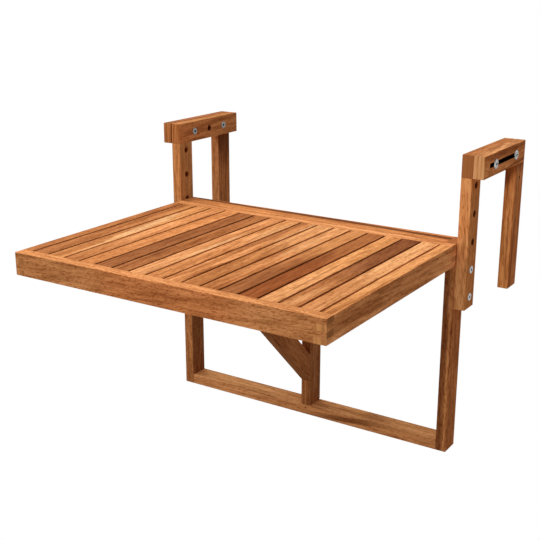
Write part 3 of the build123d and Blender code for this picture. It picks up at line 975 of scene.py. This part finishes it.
@dataclass
class RailingHooks(Joinery):
    """Posts and arms that hang on the railing.

    Attributes:
        hole_pitch: Distance between the holes of the posts and of the arms, in metres.
        hole_radius: Radius of the painted shade in the holes.
        first_hole: Y and Z of the middle height hole, from the post's front lower edge.
        slot_ends: Where the slot starts and ends, from the arm's front end.
        slot_room: Where the fixed arm behind the slot gets painted shade.
        slot_half_width: Half the width of the slot.
        lock_hole: Y and Z of the lock pin's hole, from the rear post's lower front edge.
        lock_radius: Radius of the painted shade in that hole.
        lock_depths: Least and greatest X of that painted shade in the left rear post, and in the right one.
    """

    hole_pitch: float = 0.050
    hole_radius: float = 0.0061
    first_hole: Pair = (0.020, 0.121)
    slot_ends: Pair = (0.0248, 0.1632)
    slot_room: Pair = (0.020, 0.188)
    slot_half_width: float = 0.0041
    lock_hole: Pair = (0.020, 0.209)
    lock_radius: float = 0.0026
    lock_depths: tuple[Pair, Pair] = ((0.0, 0.014), (0.006, 0.021))

    def fixed_boards(self) -> Boards:
        """Describe the posts that the legs are bolted to and the arms on top of them.

        Returns:
            The boards and their finishes.
        """
        low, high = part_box("left_fixed_arm")
        middle = ((high.y - low.y) / 2, (high.z - low.z) / 2)
        # Painted shade inside the posts' height holes and the arms' middle holes.
        heights = (Bores(self.first_hole, self.hole_radius, Side.Z, self.hole_pitch, count=2),)
        holes = Bores(middle, self.hole_radius, Side.Y, self.hole_pitch, count=1)
        # Painted shade on the fixed arms' faces where they show through the slot.
        left_back, right_back = (
            Channel(self.slot_room, self.slot_half_width, face) for face in (Face.LEFT, Face.RIGHT)
        )
        # Painted shade on the left post's inner face, the right post's right face and the left arm's top,
        # and painted light on the right post's front.
        painted_shade_left_inner = Tint(Face.RIGHT, (0.76, 0.84, 0.92))
        painted_shade_right_side = Tint(Face.RIGHT, (0.91, 0.69, 0.50))
        painted_light_right_front = Tint(Face.FRONT, (1.05, 0.98, 0.88))
        painted_shade_fixed_top = Tint(Face.TOP, (0.72, 0.73, 0.69))
        return {
            "left_front_post": WoodFinish(
                Timber.HONEY, Grain.UPRIGHT, 141.1, 0.5, 0.4, tints=(painted_shade_left_inner,), hollows=heights
            ),
            "right_front_post": WoodFinish(
                Timber.STRAW, Grain.UPRIGHT, 145.7, 0.9, 0.35,
                tints=(painted_shade_right_side, painted_light_right_front), hollows=heights, pores=Pores.LONG,
            ),
            "left_fixed_arm": WoodFinish(
                Timber.AMBER, Grain.DEEP, 149.2, 0.6, 0.6,
                tints=(painted_shade_fixed_top,), hollows=(holes, left_back), end=Timber.CARAMEL, rings=1.0,
            ),
            "right_fixed_arm": WoodFinish(
                Timber.TAN, Grain.DEEP, 153.9, 0.5, 0.4,
                hollows=(holes, right_back), end=Timber.TAN, rings=0.15,
            ),
        }

    def sliding_boards(self) -> Boards:
        """Describe the slotted arms and the posts behind the railing.

        Returns:
            The boards and their finishes.
        """
        # Painted shade inside the slots and inside the lock pins' holes.
        slot = Channel(self.slot_ends, self.slot_half_width)
        left_bore, right_bore = (
            Bores(self.lock_hole, self.lock_radius, depth=depth, colour=Stain.PAINTED_SLOT_SHADE)
            for depth in self.lock_depths
        )
        # Painted light on the slide arms' inner, top and side faces; painted shade on the rear posts' inner
        # and right faces, with the arm's painted shadow on the right one; painted light on the right rear
        # post's front.
        painted_light_arm_inner = Tint(Face.RIGHT, (0.97, 1.02, 1.08))
        painted_light_slide_top = Tint(Face.TOP, (1.22, 1.48, 1.84))
        painted_light_slide_side = Tint(Face.RIGHT, (1.36, 1.25, 1.18))
        painted_shade_left_inner = Tint(Face.RIGHT, (0.80, 0.70, 0.66))
        left_shade = Tint(Face.RIGHT, (0.34, 0.31, 0.29), (0.175, 0.40))
        painted_shade_right_side = Tint(Face.RIGHT, (0.96, 0.73, 0.62))
        painted_light_right_front = Tint(Face.FRONT, (1.13, 1.03, 0.93))
        arm_shade = Streak(-0.1085, 0.020, (0.42, 0.34, 0.29), 1.0, 0.5, None, 0.2, Blend.TINT)
        dark_line = Streak(0.013, 0.003, Stain.HEART, 0.5, 0.0, (0.05, 0.14))
        red_edge = Streak(0.0095, 0.004, Stain.HEART, 0.4, side=Side.Y)
        return {
            "left_slide_arm": WoodFinish(
                Timber.COCOA, Grain.DEEP, 157.3, 0.6, 1.3,
                tints=(painted_light_arm_inner,), hollows=(slot, Seam(Face.RIGHT)), end=Timber.CARAMEL, rings=2.0,
            ),
            "right_slide_arm": WoodFinish(
                Timber.CARAMEL, Grain.DEEP, 161.8, 0.6, 1.4,
                tints=(painted_light_slide_top, painted_light_slide_side), hollows=(slot,), end=Timber.STRAW, rings=1.2,
            ),
            "left_rear_post": WoodFinish(
                Timber.AMBER, Grain.UPRIGHT, 165.4, tints=(painted_shade_left_inner, left_shade), hollows=(left_bore,)
            ),
            "right_rear_post": WoodFinish(
                Timber.HONEY, Grain.UPRIGHT, 169.9, 0.8, 0.9, streaks=(dark_line, red_edge, arm_shade),
                tints=(painted_shade_right_side, painted_light_right_front), hollows=(right_bore,), pores=Pores.LONG,
            ),
        }

    def boards(self) -> Boards:
        """Describe the boards of both hooks, as for any joinery."""
        return self.fixed_boards() | self.sliding_boards()


@dataclass
class Hardware(Joinery):
    """Fasteners, hinges, pivots and dowels.

    Attributes:
        slot_bolt_place: Y and Z of one bolt in the slotted arms, in metres.
        slot_bolt_pitch: Distance between the two bolts of an arm.
        leg_nut_place: Y and Z of one sleeve nut on the posts.
        leg_nut_pitch: Distance between the two sleeve nuts of a post.
        drive_radius: Reach of the painted shade in a bolt's cross drive.
        socket_radius: Radius of the painted shade in a sleeve nut's socket.
        patches: Shares of the clouds at which the painted dark reflections end and the pale plating starts
            on the bolts' heads.
        nylon: Finish of the bracket's washer and bush.
        dowel_seed: Seed of the first dowels' pattern.
        dowel_step: Step of the seed from one kind of dowel to the next.
    """

    slot_bolt_place: Pair = (0.050, 0.020)
    slot_bolt_pitch: float = 0.100
    leg_nut_place: Pair = (-0.080, -0.164)
    leg_nut_pitch: float = 0.050
    drive_radius: float = 0.0054
    socket_radius: float = 0.0026
    patches: Pair = (0.45, 0.54)
    nylon: HardFinish = HardFinish(
        "dark_nylon", Plating.RUBBED, Plating.BLACK, (), (0.35, 0.72), Waves(180.0, 180.0, 3.0, 0.6, 0.2),
        Waves(3200.0, 3200.0), metallic=0.0, roughness=0.55, relief=0.2,
    )
    dowel_seed: float = 181.0
    dowel_step: float = 3.3

    def metals(self) -> dict[HardFinish, tuple[str, ...]]:
        """Describe the metal pieces.

        Returns:
            The nodes that wear each finish.
        """
        # Painted shade inside the bolts' cross drives and the nuts' sockets.
        slot_row = (Side.Y, self.slot_bolt_pitch, 1)
        leg_row = (Side.Z, self.leg_nut_pitch, 1)
        deep = (0.0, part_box("slot_bolts")[1].x - SKIN_DEPTH)
        drives = Bores(self.slot_bolt_place, self.drive_radius, *slot_row, deep, Plating.SHADED_RECESS)
        slot_sockets = Bores(self.slot_bolt_place, self.socket_radius, *slot_row, colour=Plating.SHADED_RECESS)
        leg_sockets = Bores(self.leg_nut_place, self.socket_radius, *leg_row, colour=Plating.SHADED_SOCKET)
        return {
            # The bolts' heads get painted dark reflections between pale plating.
            HardFinish("bolt_zinc", Plating.PALE, Plating.PAINTED_DARK_REFLECTION, (drives,), self.patches): ("slot_bolts",),
            HardFinish("slot_nut_zinc", Plating.GREY, Plating.DULL, (slot_sockets,)): ("slot_sleeve_nuts",),
            HardFinish("leg_nut_zinc", Plating.CLEAN, Plating.GREY, (leg_sockets,)): ("leg_sleeve_nuts",),
            HardFinish("hinge_zinc", Plating.SATIN, Plating.DULL): (
                "leg_bolts", "top_screws", "hinge_frame_leaves", "hinge_top_leaves", "hinge_pins",
                "hinge_frame_screws", "hinge_top_screws", "gate_pins",
            ),
            HardFinish("blackened_pin", Plating.BLACK, Plating.SOOT): ("left_lock_pin", "right_lock_pin"),
        }

    def boards(self) -> Boards:
        """Describe the dowels, as for any joinery."""
        grains = {
            "frame_dowels": Grain.ACROSS,
            "batten_dowels": Grain.ACROSS,
            "post_dowels": Grain.UPRIGHT,
            "left_hook_dowels": Grain.UPRIGHT,
            "right_hook_dowels": Grain.UPRIGHT,
            "gate_dowels": Grain.DEEP,
        }
        return {
            node: WoodFinish(Timber.HONEY, grain, self.dowel_seed + self.dowel_step * count, 0.2, 0.8)
            for count, (node, grain) in enumerate(grains.items())
        }

    def build(self) -> None:
        """Dress the metal, nylon and dowels."""
        super().build()
        for finish, nodes in (self.metals() | {self.nylon: ("gate_washer", "gate_bush")}).items():
            material = finish.material()
            for node in nodes:
                dress(node, material)


def stand(name: str, data: ID) -> Object:
    """Put a new object into the scene, with its mesh, light or camera."""
    bpy.context.scene.collection.objects.link(bpy.data.objects.new(name, data))
    return bpy.data.objects[name]


@dataclass(frozen=True)
class Lamp:
    """A square soft lamp.

    Attributes:
        name: Its name.
        place: Where it hangs, in metres.
        aim: Point that it faces.
        size: Side of its square face.
        power: Power in watts.
    """

    name: str
    place: Triple
    aim: Triple
    size: float
    power: float

    def hang(self) -> None:
        """Hang the lamp."""
        light = bpy.data.lights.new(self.name, "AREA")
        light.size = self.size
        light.energy = self.power
        piece = stand(self.name, light)
        piece.location = self.place
        toward = Vector(self.aim) - Vector(self.place)
        piece.rotation_euler = toward.to_track_quat("-Z", "Y").to_euler()
        log.info("lamp %s of %.0f W", self.name, self.power)


@dataclass
class Studio:
    """Floor, lamps, surroundings and camera.

    Attributes:
        floor_middle: Middle of the floor, in metres.
        floor_radius: Radius of the floor.
        floor_sides: Number of straight edges round it.
        shadow_reach: Distances between which the floor's shadows fade to white.
        floor_grey: Brightness of the floor.
        room_light: Strength of the light from the surroundings.
        lamps: The lamps.
        eye: Place of the camera.
        tilt: Camera's turn about X, in degrees.
        swing: Camera's turn about Z, in degrees.
        lens: Focal length, in millimetres, on a sensor of sensor_width.
        sensor_width: Width of the sensor, in millimetres.
        sight: Least and greatest distance that the camera sees.
    """

    floor_middle: Triple = (0.0, -0.25, -2.9)
    floor_radius: float = 6.0
    floor_sides: int = 96
    shadow_reach: Pair = (0.33, 1.1)
    floor_grey: float = 0.92
    room_light: float = 0.25
    lamps: tuple[Lamp, ...] = (
        Lamp("key_overhead", (-0.85, -0.15, 2.1), (-0.35, -0.25, -0.1), 2.2, 54.0),
        Lamp("fill_front", (-0.1, -2.9, 0.4), (0.0, -0.2, -0.3), 1.3, 14.2),
    )
    eye: Triple = (0.9132, -1.6398, 0.3399)
    tilt: float = 72.81
    swing: float = 32.94
    lens: float = 65.28
    sensor_width: float = 36.0
    sight: Pair = (0.05, 60.0)

    def seen_share(self, graph: Graph) -> NodeSocket:
        """Share of the rays that should meet plain white.

        Args:
            graph: The material or world.

        Returns:
            Socket that is 1 for camera, glossy and transmission rays.
        """
        path = graph.add("ShaderNodeLightPath")
        seen = graph.math("MAXIMUM", path.outputs["Is Camera Ray"], path.outputs["Is Glossy Ray"])
        return graph.math("MAXIMUM", seen, path.outputs["Is Transmission Ray"])

    def floor_material(self) -> Material:
        """Pale floor that keeps a shadow under the table and fades to white around it.

        Returns:
            The material.
        """
        material = bpy.data.materials.new("pale_floor")
        graph = Graph(material)
        length = graph.add("ShaderNodeVectorMath", {0: graph.object_place()}, operation="LENGTH")
        far = graph.slope(length.outputs["Value"], *self.shadow_reach)
        grey = (self.floor_grey, self.floor_grey, self.floor_grey, 1.0)
        blend = graph.add("ShaderNodeMixShader", {
            "Fac": graph.both(far, self.seen_share(graph)),
            1: graph.add("ShaderNodeBsdfDiffuse", {"Color": grey}).outputs["BSDF"],
            2: graph.add("ShaderNodeEmission", {"Strength": 1.0}).outputs["Emission"],
        })
        graph.add("ShaderNodeOutputMaterial", {"Surface": blend.outputs["Shader"]})
        return material

    def lay_floor(self) -> None:
        """Lay the round floor."""
        mesh = bpy.data.meshes.new("floor")
        shape = bmesh.new()
        bmesh.ops.create_circle(shape, cap_ends=True, segments=self.floor_sides, radius=self.floor_radius)
        bmesh.ops.translate(shape, verts=shape.verts, vec=self.floor_middle)
        shape.to_mesh(mesh)
        shape.free()
        mesh.materials.append(self.floor_material())
        piece = stand("floor", mesh)
        log.info("floor at %.2f m", self.floor_middle[2])

    def surround(self) -> None:
        """Surround the table with plain white that lights it at a softer level."""
        world = bpy.data.worlds.new("white_room")
        bpy.context.scene.world = world
        graph = Graph(world)
        strength = graph.spread(self.seen_share(graph), self.room_light, 1.0)
        sky = graph.add("ShaderNodeBackground", {"Color": (1.0, 1.0, 1.0, 1.0), "Strength": strength})
        graph.add("ShaderNodeOutputWorld", {"Surface": sky.outputs["Background"]})

    def place_camera(self) -> None:
        """Set the camera at the photograph's viewing angle."""
        data = bpy.data.cameras.new("eye")
        data.lens = self.lens
        data.sensor_width = self.sensor_width
        data.clip_start, data.clip_end = self.sight
        piece = stand("eye", data)
        piece.location = self.eye
        piece.rotation_euler = (radians(self.tilt), 0.0, radians(self.swing))
        bpy.context.scene.camera = piece

    def build(self) -> None:
        """Build the whole studio."""
        bpy.context.scene.view_settings.view_transform = "Standard"
        self.lay_floor()
        self.surround()
        for lamp in self.lamps:
            lamp.hang()
        self.place_camera()


def main() -> None:
    """Dress the table and build the studio around it."""
    for assembly in (TableTop(), BackFrame(), SwingBracket(), RailingHooks(), Hardware(), Studio()):
        assembly.build()


if __name__ == "__main__":
    main()
